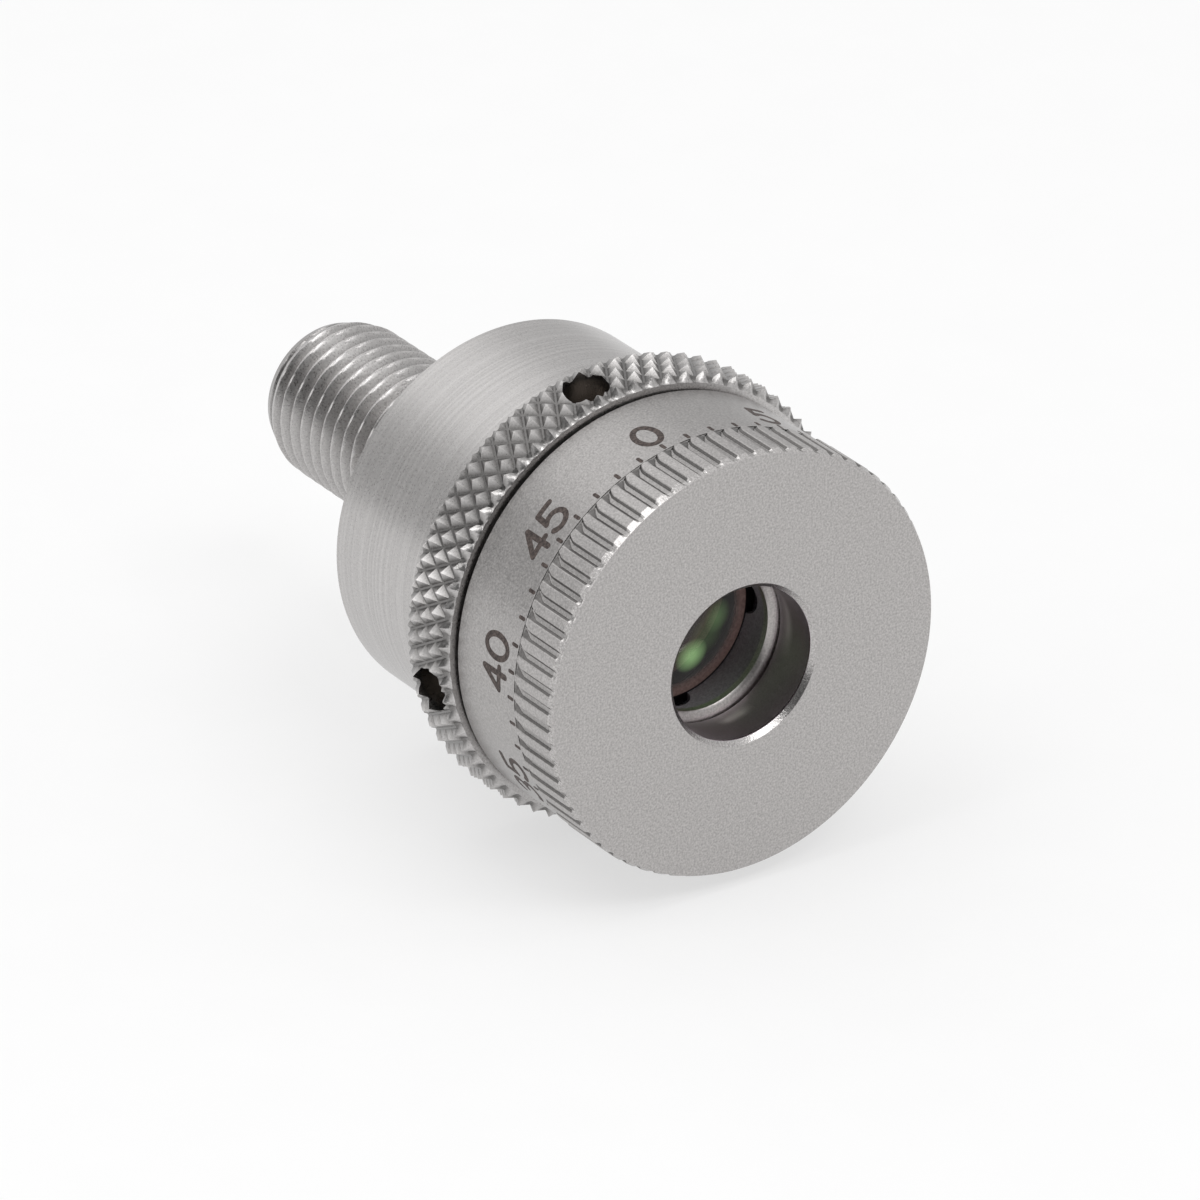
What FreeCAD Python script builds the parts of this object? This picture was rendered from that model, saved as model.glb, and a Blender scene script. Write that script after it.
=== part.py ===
import FreeCAD, Part
import math
import os

# Fibre collimator with a focusing lens. The optical axis is X, the light leaves towards +X, and +Z is up.
# The origin is on the axis, halfway along the smooth grip of the barrel. All sizes are in millimetres.
# Angles round the axis are counted from +Z towards +Y.

# Barrel: smooth grip, threaded neck round the guide bore
grip_dia = 15.0
grip_length = 6.2
grip_chamfer = 0.2
neck_wall = 1.15
neck_relief_depth = 0.4
neck_relief_width = 0.5
neck_front_gap = 0.25
rear_wall = 2.2

# Receptacle: threaded nipple, hub in the rear wall, flange behind it
nipple_thread_dia = 6.35
nipple_thread_pitch = 25.4 / 36
nipple_thread_depth = 0.4
nipple_thread_start_deg = 4.0
nipple_thread_flats = 24
nipple_plain_length = 1.2
nipple_length = 12.24
nipple_lead_length = 1.07
nipple_tip_step = 0.415
ferrule_bore_dia = 3.2
ferrule_bore_depth = 10.6
ferrule_mouth_chamfer = 0.15
light_cone_dia = 5.2
hub_dia = 8.4
flange_thickness = 1.2
clamp_ring_thickness = 1.2
clamp_ring_radial = 2.13
spanner_slot_width = 1.0
spanner_slot_depth = 0.5

# Locking ring: diamond knurl and radial spanner holes
lock_ring_wall = 2.35
lock_ring_width = 2.4
lock_ring_back_room = 0.78
lock_ring_front_gap = 0.15
lock_chamfer_front = (0.22, 0.45)
lock_chamfer_rear = (0.12, 0.17)
lock_chamfer_bore = 0.25
diamond_count = 72
diamond_depth = 0.28
diamond_helix_deg = 31.0
diamond_first_deg = -12.5
diamond_back_set = 0.18
hole_count = 4
hole_dia = 1.75
hole_depth = 1.6
hole_first_deg = -12.0

# Adjuster sleeve: smooth band, straight knurl, front wall and front bore
sleeve_wall = 1.25
adjuster_length = 6.27
band_edge_chamfer = 0.08
knurl_proud = 0.08
knurl_length = 2.38
knurl_depth = 0.18
knurl_count = 72
knurl_land_share = 0.52
knurl_floor_share = 0.2
knurl_ramp_length = 0.3
knurl_ramp_step = 0.04
knurl_front_chamfer = 0.14
knurl_relief_width = 0.12
knurl_relief_depth = 0.02
front_wall = 2.4
aperture_margin = 0.13
aperture_land = 1.1
aperture_rear_flare = 0.21
aperture_chamfer = 0.18
focus_travel = 1.5

# Stop ring on the neck
stop_ring_thickness = 0.4
stop_ring_radial = 0.65
stop_ring_proud = 0.3
stop_ring_land = 0.35
stop_ring_opening_deg = 24.0
stop_groove_spare = 0.3

# Lens cell: carriage, mount, lens, retainer, slip washer
slip_washer_thickness = 0.12
slip_washer_margin = 0.19
carriage_length = 7.2
carriage_guide_length = 4.2
carriage_wall = 0.53
carriage_lip_margin = 0.07
carriage_lip_thickness = 0.45
carriage_lip_bevel = (0.15, 0.34)
mount_wall = 0.63
mount_ledge = 0.33
lens_seat_depth = 1.65
glue_port_dia = 1.3
glue_port_count = 4
lens_dia = 7.2
lens_flat_rim = 0.8
lens_centre_thickness = 5.0
lens_front_radius = 7.6
retainer_thickness = 0.7
retainer_radial = 0.6

# Guide pins and preload spring
pin_dia = 1.0
pin_x_behind_stop = 1.2
pin_recess = 0.35
spring_wire_dia = 0.4
spring_turns = 4.5
spring_facets_per_turn = 24
spring_wire_sides = 6

# Fits
thread_clearance = 0.05
guide_clearance = 0.05
seat_clearance = 0.02
pin_clearance = 0.05
pin_tip_clearance = 0.1
spring_clearance = 0.05
skirt_clearance = 0.1
cavity_clearance = 0.2
side_clearance = 0.01

# Stations along the axis, from rear to front
x_grip_rear = -grip_length / 2
x_shoulder = grip_length / 2
x_nipple_tip = x_grip_rear - nipple_length
x_flange_rear = x_grip_rear + rear_wall
x_flange_front = x_flange_rear + flange_thickness
x_clamp_front = x_flange_front + clamp_ring_thickness
x_lock_rear = x_shoulder + lock_ring_back_room
x_lock_front = x_lock_rear + lock_ring_width
x_adjuster_rear = x_lock_front + lock_ring_front_gap
x_front = x_adjuster_rear + adjuster_length
x_wall_inside = x_front - front_wall
x_neck_front = x_wall_inside - neck_front_gap
x_stop_front = x_neck_front - stop_ring_land
x_stop_rear = x_stop_front - stop_ring_thickness
x_adjuster_thread_end = x_stop_rear - focus_travel
x_pin = x_stop_rear - pin_x_behind_stop
x_carriage_front = x_wall_inside - slip_washer_thickness
x_carriage_rear = x_carriage_front - carriage_length
x_guide_rear = x_carriage_front - carriage_guide_length
x_mount_front = x_carriage_front - carriage_lip_thickness
x_lens_seat = x_mount_front - lens_seat_depth

# Radii, from the lens outwards
lens_r = lens_dia / 2
lens_rim_r = lens_r - lens_flat_rim
mount_bore_r = lens_r - mount_ledge
mount_pocket_r = lens_r + seat_clearance
mount_r = mount_pocket_r + mount_wall
carriage_bore_r = mount_r + seat_clearance
skirt_r = carriage_bore_r + carriage_wall
guide_bore_r = skirt_r + skirt_clearance + spring_wire_dia + spring_clearance
guide_r = guide_bore_r - guide_clearance
flange_r = guide_bore_r - seat_clearance
neck_r = guide_bore_r + neck_wall
neck_relief_r = neck_r - neck_relief_depth
ring_thread_r = neck_r + thread_clearance
lock_crest_r = ring_thread_r + lock_ring_wall
stop_ring_outer_r = neck_r + stop_ring_proud
stop_ring_inner_r = stop_ring_outer_r - stop_ring_radial
cavity_r = stop_ring_outer_r + cavity_clearance
band_r = cavity_r + sleeve_wall
knurl_r = band_r + knurl_proud
knurl_root_r = knurl_r - knurl_depth
lip_r = lens_rim_r + carriage_lip_margin
aperture_r = lip_r + aperture_margin
aperture_rear_r = aperture_r + aperture_rear_flare

ORIGIN = FreeCAD.Vector(0, 0, 0)
AXIS = FreeCAD.Vector(1, 0, 0)


def sag(half_width):
    """Depth of the lens's curved front at a distance from the axis."""
    return lens_front_radius - math.sqrt(lens_front_radius ** 2 - half_width ** 2)


x_lens_vertex = x_lens_seat + sag(lens_rim_r)
x_lens_rear = x_lens_vertex - lens_centre_thickness


def on_axis(x):
    return FreeCAD.Vector(x, 0, 0)


def round_point(x, r, degrees):
    """Point at radius r and at an angle round the axis, counted from +Z towards +Y."""
    a = math.radians(degrees)
    return FreeCAD.Vector(x, r * math.sin(a), r * math.cos(a))


def outward(shape):
    """Turn a solid that came out inside out the right way."""
    if shape.Volume < 0:
        shape.reverse()
    return shape


def revolved(edges):
    """Solid swept by a closed chain of edges in the XZ plane, once round the axis."""
    face = Part.Face(Part.Wire(edges))
    return outward(face.revolve(ORIGIN, AXIS, 360).Solids[0])


def chain(points):
    """Straight edges through (x, r) points, from the first to the last."""
    spots = [FreeCAD.Vector(x, 0, r) for x, r in points]
    return [Part.LineSegment(a, b).toShape() for a, b in zip(spots, spots[1:])]


def turned(points):
    """Turned solid with a closed outline of (x, r) points."""
    return revolved(chain(points + points[:1]))


def ring(x0, x1, inner_r, outer_r):
    return turned([(x0, inner_r), (x1, inner_r), (x1, outer_r), (x0, outer_r)])


def radial_rod(x, r0, r1, radius, degrees):
    """Cylinder whose axis is a radius of the part, from radius r0 to r1."""
    start = round_point(x, r0, degrees)
    direction = round_point(0, 1, degrees)
    return Part.makeCylinder(radius, r1 - r0, start, direction)


def radial_slots(x0, x1, outer_r):
    """Bar right across the axis, that leaves two spanner slots in a ring's face."""
    size = (x1 - x0, 2 * outer_r, spanner_slot_width)
    return Part.makeBox(*size, FreeCAD.Vector(x0, -outer_r, -spanner_slot_width / 2))


def sewn(faces):
    """Solid closed by faces that share their edges."""
    skin = Part.makeCompound(faces)
    skin.sewShape()
    return outward(Part.makeSolid(skin.Shells[0]))


def triangle(a, b, c):
    return Part.Face(Part.makePolygon([a, b, c, a]))


def faceted(outline, sides, first_deg):
    """Solid bar with flat sides: an open (x, r) outline, from rear to front, turned round in equal flats."""
    def corner(point, i):
        return round_point(*point, first_deg + 360.0 * (i % sides) / sides)

    faces = []
    for a, b in zip(outline, outline[1:]):
        for i in range(sides):
            rim = [corner(a, i), corner(a, i + 1), corner(b, i + 1), corner(b, i), corner(a, i)]
            faces.append(Part.Face(Part.makePolygon(rim)))
    for point in (outline[0], outline[-1]):
        faces.append(Part.Face(Part.makePolygon([corner(point, i) for i in range(sides + 1)])))
    return sewn(faces)


def threaded_bar(crest_r, depth, pitch, x_first, turns, flats, first_deg):
    """Bar with a right-handed V thread, sharp at crest and root, as flat facets.

    Lines half a pitch apart wind round it, in turn on the crest and at the root. Each falls back by a pitch
    a turn, so that after one turn it goes on as the line two places behind it.
    """
    def corner(k, j):
        if j == flats:
            return corner(k - 2, 0)
        r = crest_r - depth * (k % 2)
        return round_point(x_first + pitch * (k / 2 - j / flats), r, first_deg + 360.0 * j / flats)

    last = 2 * turns
    faces = []
    for k in range(last):
        for j in range(flats):
            a, b = corner(k, j), corner(k, j + 1)
            c, d = corner(k + 1, j), corner(k + 1, j + 1)
            faces += [triangle(a, b, c), triangle(d, c, b)]
    for k in (0, last):
        rim = [corner(k, j) for j in range(flats + 1)] + [corner(k - 1, 0)]
        centre = on_axis(x_first + pitch * (k / 2 - 1))
        faces += [triangle(centre, a, b) for a, b in zip(rim, rim[1:] + rim[:1])]
    return sewn(faces)


def diamond_prism(crest_r, root_r, x_middle, width):
    """Bar with crossed V grooves at both helix angles: each diamond is a low pyramid with four sides.

    Stations lie half a diamond apart along the axis. Crests and groove crossings take turns along each
    station and from one station to the next, and each small square is folded along its groove.
    """
    steps = 2 * diamond_count
    half_height = math.pi * crest_r / diamond_count / math.tan(math.radians(diamond_helix_deg))
    stations = 2 * math.ceil(width / (2 * half_height))
    x_first = x_middle - stations * half_height / 2

    def corner(k, j):
        r = crest_r if (j - k) % 2 == 0 else root_r
        return round_point(x_first + k * half_height, r, diamond_first_deg + 360.0 * (j % steps) / steps)

    faces = []
    for k in range(stations):
        for j in range(steps):
            a, b = corner(k, j), corner(k, j + 1)
            c, d = corner(k + 1, j), corner(k + 1, j + 1)
            if (j - k) % 2 == 0:
                faces += [triangle(a, b, c), triangle(d, c, b)]
            else:
                faces += [triangle(b, d, a), triangle(c, a, d)]
    for k in (0, stations):
        rim = [corner(k, j) for j in range(steps + 1)]
        faces.append(Part.Face(Part.makePolygon(rim)))
    return sewn(faces)


def straight_knurl_bar(x_rear, x_end):
    """Bar with flat lands between flat-floored grooves, which end in ramps at the rear, and a front chamfer."""
    pitch = 360.0 / knurl_count
    half_land = knurl_land_share * pitch / 2
    half_floor = knurl_floor_share * pitch / 2
    corners = ((-half_land, knurl_r), (half_land, knurl_r),
               (pitch / 2 - half_floor, knurl_root_r), (pitch / 2 + half_floor, knurl_root_r))
    rim = [round_point(x_rear, r, i * pitch + degrees) for i in range(knurl_count) for degrees, r in corners]
    grooved = outward(Part.Face(Part.makePolygon(rim + rim[:1])).extrude(on_axis(x_end - x_rear)))
    ramps = faceted([
        (x_rear, knurl_r - knurl_ramp_step),
        (x_rear + knurl_ramp_length, knurl_root_r),
    ], knurl_count, 0)
    flat_share = math.cos(math.radians(half_land)) / math.cos(math.radians(pitch / 2))
    over_lands = knurl_r * flat_share
    chamfered = faceted([
        (x_rear, over_lands),
        (x_end - knurl_front_chamfer, over_lands),
        (x_end, over_lands - knurl_front_chamfer),
    ], knurl_count, -pitch / 2)
    return grooved.fuse(ramps).common(chamfered)


def make_barrel():
    """Grip with a rear wall, a threaded neck with a relief at the shoulder, and the carriage's guide bore."""
    grip_r = grip_dia / 2
    groove_root_r = stop_ring_inner_r - stop_groove_spare
    groove_rear = x_stop_rear - side_clearance
    groove_front = x_stop_front + side_clearance
    hub_bore_r = hub_dia / 2 + seat_clearance
    body = turned([
        (x_grip_rear, hub_bore_r),
        (x_grip_rear, grip_r - grip_chamfer),
        (x_grip_rear + grip_chamfer, grip_r),
        (x_shoulder - grip_chamfer, grip_r),
        (x_shoulder, grip_r - grip_chamfer),
        (x_shoulder, neck_relief_r),
        (x_shoulder + neck_relief_width, neck_relief_r),
        (x_shoulder + neck_relief_width + neck_relief_depth, neck_r),
        (groove_rear, neck_r),
        (groove_rear, groove_root_r),
        (groove_front, groove_root_r),
        (groove_front, neck_r),
        (x_neck_front - grip_chamfer, neck_r),
        (x_neck_front, neck_r - grip_chamfer),
        (x_neck_front, guide_bore_r),
        (x_flange_rear, guide_bore_r),
        (x_flange_rear, hub_bore_r),
    ])
    for degrees in (90, -90):
        hole = radial_rod(x_pin, skirt_r, neck_r + pin_recess, pin_dia / 2 + seat_clearance, degrees)
        body = body.cut(hole)
    return body


def make_sma_receptacle():
    """Nipple with its thread, plain beside the hub, a flange, and the ferrule bore with its light cone."""
    nipple_r = nipple_thread_dia / 2
    tip_r = nipple_r - nipple_tip_step
    bore_r = ferrule_bore_dia / 2
    cone_r = light_cone_dia / 2
    x_thread_end = x_grip_rear - nipple_plain_length
    x_first = x_nipple_tip - nipple_thread_pitch
    turns = math.ceil((x_thread_end - x_first) / nipple_thread_pitch) + 2
    bar = threaded_bar(nipple_r, nipple_thread_depth, nipple_thread_pitch, x_first, turns,
                       nipple_thread_flats, nipple_thread_start_deg)
    past_crests = 1.5
    lead_end = (x_nipple_tip + past_crests * nipple_lead_length, tip_r + past_crests * nipple_tip_step)
    thread = bar.common(turned([
        (x_nipple_tip, 0),
        (x_nipple_tip, tip_r),
        lead_end,
        (x_thread_end, lead_end[1]),
        (x_thread_end, 0),
    ]))
    base = turned([
        (x_thread_end, 0),
        (x_thread_end, nipple_r),
        (x_grip_rear, nipple_r),
        (x_grip_rear, hub_dia / 2),
        (x_flange_rear, hub_dia / 2),
        (x_flange_rear, flange_r),
        (x_flange_front, flange_r),
        (x_flange_front, 0),
    ])
    bore = turned([
        (x_nipple_tip, 0),
        (x_nipple_tip, bore_r + ferrule_mouth_chamfer),
        (x_nipple_tip + ferrule_mouth_chamfer, bore_r),
        (x_nipple_tip + ferrule_bore_depth, bore_r),
        (x_flange_rear, cone_r),
        (x_flange_front, cone_r),
        (x_flange_front, 0),
    ])
    return thread.fuse(base).cut(bore).Solids[0]


def make_receptacle_clamp_ring():
    """Threaded ring with two spanner slots in its front face."""
    body = ring(x_flange_front, x_clamp_front, flange_r - clamp_ring_radial, flange_r)
    slot_rear = x_clamp_front - spanner_slot_depth
    return body.cut(radial_slots(slot_rear, x_clamp_front + spanner_slot_depth, flange_r))


def make_lock_ring():
    """Diamond-knurled ring with chamfered edges and blind radial spanner holes."""
    front_axial, front_radial = lock_chamfer_front
    rear_axial, rear_radial = lock_chamfer_rear
    x_middle = (x_lock_rear + x_lock_front) / 2
    x_diamonds = x_middle - diamond_back_set
    width = lock_ring_width + 2 * diamond_back_set
    bar = diamond_prism(lock_crest_r, lock_crest_r - diamond_depth, x_diamonds, width)
    trimmed = bar.common(faceted([
        (x_lock_rear, lock_crest_r - rear_radial),
        (x_lock_rear + rear_axial, lock_crest_r),
        (x_lock_front - front_axial, lock_crest_r),
        (x_lock_front, lock_crest_r - front_radial),
    ], 2 * diamond_count, diamond_first_deg))
    body = trimmed.cut(turned([
        (x_lock_rear, 0),
        (x_lock_rear, ring_thread_r + lock_chamfer_bore),
        (x_lock_rear + lock_chamfer_bore, ring_thread_r),
        (x_lock_front - lock_chamfer_bore, ring_thread_r),
        (x_lock_front, ring_thread_r + lock_chamfer_bore),
        (x_lock_front, 0),
    ]))
    for i in range(hole_count):
        degrees = hole_first_deg + 360.0 * i / hole_count
        floor_r = lock_crest_r - hole_depth
        body = body.cut(radial_rod(x_middle, floor_r, lock_crest_r + hole_depth, hole_dia / 2, degrees))
    return body.Solids[0]


def make_adjuster_sleeve():
    """Cap with a smooth band, a relief, a straight knurl, and the front bore through its wall."""
    x_knurl_rear = x_front - knurl_length
    x_relief = x_knurl_rear - knurl_relief_width
    band = turned([
        (x_adjuster_rear, 0),
        (x_adjuster_rear, band_r - band_edge_chamfer),
        (x_adjuster_rear + band_edge_chamfer, band_r),
        (x_relief, band_r),
        (x_relief, knurl_root_r - knurl_relief_depth),
        (x_knurl_rear, knurl_root_r - knurl_relief_depth),
        (x_knurl_rear, 0),
    ])
    inside = turned([
        (x_adjuster_rear, 0),
        (x_adjuster_rear, ring_thread_r),
        (x_adjuster_thread_end, ring_thread_r),
        (x_adjuster_thread_end, cavity_r),
        (x_wall_inside, cavity_r),
        (x_wall_inside, aperture_rear_r),
        (x_front - aperture_land, aperture_r),
        (x_front - aperture_chamfer, aperture_r),
        (x_front, aperture_r + aperture_chamfer),
        (x_front, 0),
    ])
    return band.fuse(straight_knurl_bar(x_knurl_rear, x_front)).cut(inside).Solids[0]


def make_stop_ring():
    """Snap ring with an opening, in the neck's groove."""
    body = ring(x_stop_rear, x_stop_front, stop_ring_inner_r, stop_ring_outer_r)
    half = math.radians(stop_ring_opening_deg / 2)
    width = 2 * stop_ring_outer_r * math.sin(half)
    corner = FreeCAD.Vector(x_stop_rear - stop_ring_thickness, -width / 2, -2 * stop_ring_outer_r)
    return body.cut(Part.makeBox(3 * stop_ring_thickness, width, 2 * stop_ring_outer_r, corner))


def make_slip_washer():
    return ring(x_carriage_front, x_wall_inside, aperture_rear_r + slip_washer_margin, guide_r)


def make_lens_carriage():
    """Sliding sleeve: bevelled front lip, guide with two keyways, and a skirt inside the spring."""
    bevel_axial, bevel_radial = carriage_lip_bevel
    body = turned([
        (x_carriage_front, lip_r + bevel_radial),
        (x_carriage_front, guide_r),
        (x_guide_rear, guide_r),
        (x_guide_rear, skirt_r),
        (x_carriage_rear, skirt_r),
        (x_carriage_rear, carriage_bore_r),
        (x_mount_front, carriage_bore_r),
        (x_mount_front, lip_r),
        (x_carriage_front - bevel_axial, lip_r),
    ])
    half_width = pin_dia / 2 + pin_clearance
    length = x_pin + pin_dia / 2 + pin_tip_clearance - x_guide_rear
    for low_y in (skirt_r, -guide_bore_r):
        corner = FreeCAD.Vector(x_guide_rear, low_y, -half_width)
        body = body.cut(Part.makeBox(length, guide_bore_r - skirt_r, 2 * half_width, corner))
    return body


def make_lens_mount():
    """Threaded mount whose front wall ends at the lens's rim, with radial glue ports there."""
    body = turned([
        (x_carriage_rear, mount_pocket_r),
        (x_carriage_rear, mount_r),
        (x_mount_front, mount_r),
        (x_mount_front, mount_bore_r),
        (x_lens_seat, mount_bore_r),
        (x_lens_seat, mount_pocket_r),
    ])
    for i in range(glue_port_count):
        degrees = 90 + 360.0 * i / glue_port_count
        body = body.cut(radial_rod(x_lens_seat, lens_r / 2, skirt_r, glue_port_dia / 2, degrees))
    return body


def make_lens():
    """Moulded lens: a curved front inside a flat rim, a straight edge and a flat rear."""
    half_r = lens_rim_r / 2
    spots = ((x_lens_vertex, 0), (x_lens_vertex - sag(half_r), half_r), (x_lens_seat, lens_rim_r))
    dome = Part.Arc(*[FreeCAD.Vector(x, 0, r) for x, r in spots]).toShape()
    straight = [(x_lens_seat, lens_rim_r), (x_lens_seat, lens_r), (x_lens_rear, lens_r), (x_lens_rear, 0)]
    return revolved([dome] + chain(straight + [(x_lens_vertex, 0)]))


def make_lens_retainer():
    """Threaded ring with two spanner slots, against the lens's flat rear."""
    x_rear = x_lens_rear - retainer_thickness
    body = ring(x_rear, x_lens_rear, lens_r - retainer_radial, lens_r)
    return body.cut(radial_slots(x_rear - spanner_slot_depth, x_rear + retainer_thickness / 2, lens_r))


def make_preload_spring():
    """Round wire wound round the carriage's skirt, between the clamp ring and the carriage's shoulder.

    The wire is a tube of flat facets. Its sections are a fixed share of a turn apart, each in a plane through
    the axis, and the middle of the section climbs evenly along the axis.
    """
    wire_r = spring_wire_dia / 2
    middle_r = guide_bore_r - spring_clearance - wire_r
    x_start = x_clamp_front + wire_r + side_clearance
    x_end = x_guide_rear - wire_r - side_clearance
    stations = round(spring_turns * spring_facets_per_turn)

    def corner(k, j):
        x = x_start + (x_end - x_start) * k / stations
        a = 2 * math.pi * (j % spring_wire_sides) / spring_wire_sides
        turned_by = 360.0 * spring_turns * k / stations
        return round_point(x + wire_r * math.sin(a), middle_r + wire_r * math.cos(a), turned_by)

    faces = []
    for k in range(stations):
        for j in range(spring_wire_sides):
            faces.append(triangle(corner(k, j), corner(k, j + 1), corner(k + 1, j)))
            faces.append(triangle(corner(k + 1, j + 1), corner(k + 1, j), corner(k, j + 1)))
    for k in (0, stations):
        faces.append(Part.Face(Part.makePolygon([corner(k, j) for j in range(spring_wire_sides + 1)])))
    return sewn(faces)


def make_guide_pin(degrees):
    """Dowel through the neck's wall, with its tip in a keyway of the carriage."""
    return radial_rod(x_pin, skirt_r + pin_tip_clearance, neck_r - pin_recess, pin_dia / 2, degrees)


PIECES = {
    "barrel": make_barrel,
    "sma_receptacle": make_sma_receptacle,
    "receptacle_clamp_ring": make_receptacle_clamp_ring,
    "lock_ring": make_lock_ring,
    "adjuster_sleeve": make_adjuster_sleeve,
    "stop_ring": make_stop_ring,
    "slip_washer": make_slip_washer,
    "lens_carriage": make_lens_carriage,
    "lens_mount": make_lens_mount,
    "lens": make_lens,
    "lens_retainer": make_lens_retainer,
    "preload_spring": make_preload_spring,
    "guide_pin_left": lambda: make_guide_pin(90),
    "guide_pin_right": lambda: make_guide_pin(-90),
}

os.makedirs("parts", exist_ok=True)
for name, make in PIECES.items():
    shape = make()
    shape.exportStep("parts/" + name + ".step")
    print(name, "solids", len(shape.Solids), "valid", shape.isValid(), "volume", round(shape.Volume, 3))
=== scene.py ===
import math
import bpy
import numpy as np
from mathutils import Matrix, Vector


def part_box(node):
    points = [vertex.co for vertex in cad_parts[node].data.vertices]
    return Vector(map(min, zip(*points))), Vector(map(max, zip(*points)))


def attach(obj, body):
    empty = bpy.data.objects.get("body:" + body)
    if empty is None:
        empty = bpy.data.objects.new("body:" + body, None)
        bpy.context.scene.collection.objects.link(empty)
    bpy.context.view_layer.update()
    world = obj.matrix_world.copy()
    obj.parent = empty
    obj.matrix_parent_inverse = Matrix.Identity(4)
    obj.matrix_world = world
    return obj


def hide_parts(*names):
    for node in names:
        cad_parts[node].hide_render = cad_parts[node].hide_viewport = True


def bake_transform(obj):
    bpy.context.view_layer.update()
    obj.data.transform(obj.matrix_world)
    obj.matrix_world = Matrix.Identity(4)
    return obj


# Fibre collimator: dressed pieces, finishes, marks, floor, light and camera.
# The optical axis is X, the light leaves towards +X and +Z is up. Lengths are in metres.
# Angles round the axis are counted from +Z towards +Y.

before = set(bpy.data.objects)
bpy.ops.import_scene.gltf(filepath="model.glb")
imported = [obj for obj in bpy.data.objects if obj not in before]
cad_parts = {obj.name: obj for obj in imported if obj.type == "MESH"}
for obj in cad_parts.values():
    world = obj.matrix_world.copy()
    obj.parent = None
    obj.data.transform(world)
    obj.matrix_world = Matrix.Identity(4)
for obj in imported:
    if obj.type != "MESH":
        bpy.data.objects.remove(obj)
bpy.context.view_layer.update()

MM = 0.001
TURN = 2 * math.pi
cutter_reach = 1.1


def reach(node):
    """Rear end, front end and outer radius of a node, from its box."""
    low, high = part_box(node)
    return low[0], high[0], max(high[1], high[2])


barrel_rear, neck_front, grip_r = reach("barrel")
nipple_tip, flange_front, flange_r = reach("sma_receptacle")
lock_rear, lock_front, lock_r = reach("lock_ring")
adjuster_rear, adjuster_front, knurl_r = reach("adjuster_sleeve")
carriage_rear, carriage_front, guide_r = reach("lens_carriage")
mount_rear, mount_front, mount_r = reach("lens_mount")
lens_rear, lens_vertex, lens_r = reach("lens")
spring_rear, spring_front = reach("preload_spring")[:2]

# Barrel
shoulder_x = -barrel_rear
rear_wall = 2.2 * MM
hub_bore_r = 4.22 * MM
guide_bore_r = 5.35 * MM
neck_r = 6.5 * MM
neck_relief_r = 6.1 * MM
neck_relief_width = 0.5 * MM
stop_groove_r = 5.85 * MM
stop_groove_rear = neck_front - 0.76 * MM
stop_groove_front = neck_front - 0.34 * MM
pin_x = 8.1 * MM
pin_hole_r = 0.52 * MM
grip_edge = 0.2 * MM
neck_pitch = 0.5 * MM
neck_thread_depth = 0.18 * MM
neck_rows_a_pitch = 14
barrel_sides = 192

# Receptacle
nipple_r = 3.175 * MM
nipple_tip_r = 2.76 * MM
nipple_lead = 1.07 * MM
nipple_pitch = 25.4 / 36 * MM
nipple_thread_depth = 0.40 * MM
nipple_thread_start = math.radians(4.0)
nipple_plain = 1.2 * MM
nipple_rows_a_pitch = 16
receptacle_sides = 144
hub_r = 4.2 * MM
ferrule_r = 1.6 * MM
ferrule_end = nipple_tip + 10.6 * MM
ferrule_mouth = 0.15 * MM
light_cone_r = 2.6 * MM

# Locking ring
ring_bore_r = 6.55 * MM
ring_bore_edge = 0.25 * MM
diamond_count = 72
diamond_depth = 0.28 * MM
diamond_helix = math.radians(31.0)
diamond_first = math.radians(-12.5)
diamond_back_set = 0.18 * MM
diamond_steps = 8
diamond_rows_each_way = 40
diamond_sharp_deg = 12.0
first_hole = math.radians(-12.0)
lock_front_edge = (0.22 * MM, 0.45 * MM)
lock_rear_edge = (0.12 * MM, 0.17 * MM)
hole_r = 0.875 * MM
hole_depth = 1.6 * MM
hole_count = 4
hole_point = math.radians(59.0)
lock_face_width = 1.4 * MM

# Adjuster sleeve
band_r = 8.25 * MM
band_edge = 0.08 * MM
knurl_count = 72
knurl_length = 2.38 * MM
knurl_depth = 0.11 * MM
knurl_land = 0.52
knurl_floor = 0.2
knurl_runout = 0.45 * MM
knurl_runout_cut = 0.2
knurl_break = 0.03
knurl_foot_rate = 1.6
knurl_sharp_deg = 14.0
knurl_front_edge = (0.27 * MM, 0.125 * MM)
relief_width = 0.12 * MM
relief_r = band_r - 0.022 * MM
cavity_r = 7.0 * MM
sleeve_shoulder = 7.79 * MM
front_wall = 2.4 * MM
aperture_r = 3.0 * MM
aperture_land = 1.1 * MM
aperture_rear_r = 3.21 * MM
aperture_edge = 0.18 * MM

# Lens cell
lip_r = 2.87 * MM
lip_thickness = 0.45 * MM
lip_bevel = (0.15 * MM, 0.34 * MM)
guide_length = 4.2 * MM
skirt_r = 4.8 * MM
cell_bore_r = 4.27 * MM
keyway_half_width = 0.55 * MM
keyway_front = 8.7 * MM
mount_bore_r = 3.27 * MM
mount_pocket_r = 3.62 * MM
lens_seat = mount_front - 1.65 * MM
glue_port_r = 0.65 * MM
glue_port_count = 4
lens_rim_r = 2.8 * MM
lens_curve = 7.6 * MM
lens_sides = 128

# Preload spring
spring_wire_r = 0.2 * MM
spring_middle_r = guide_bore_r - 0.25 * MM
spring_turns = 4.5
spring_steps = 36
spring_wire_sides = 12

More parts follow.
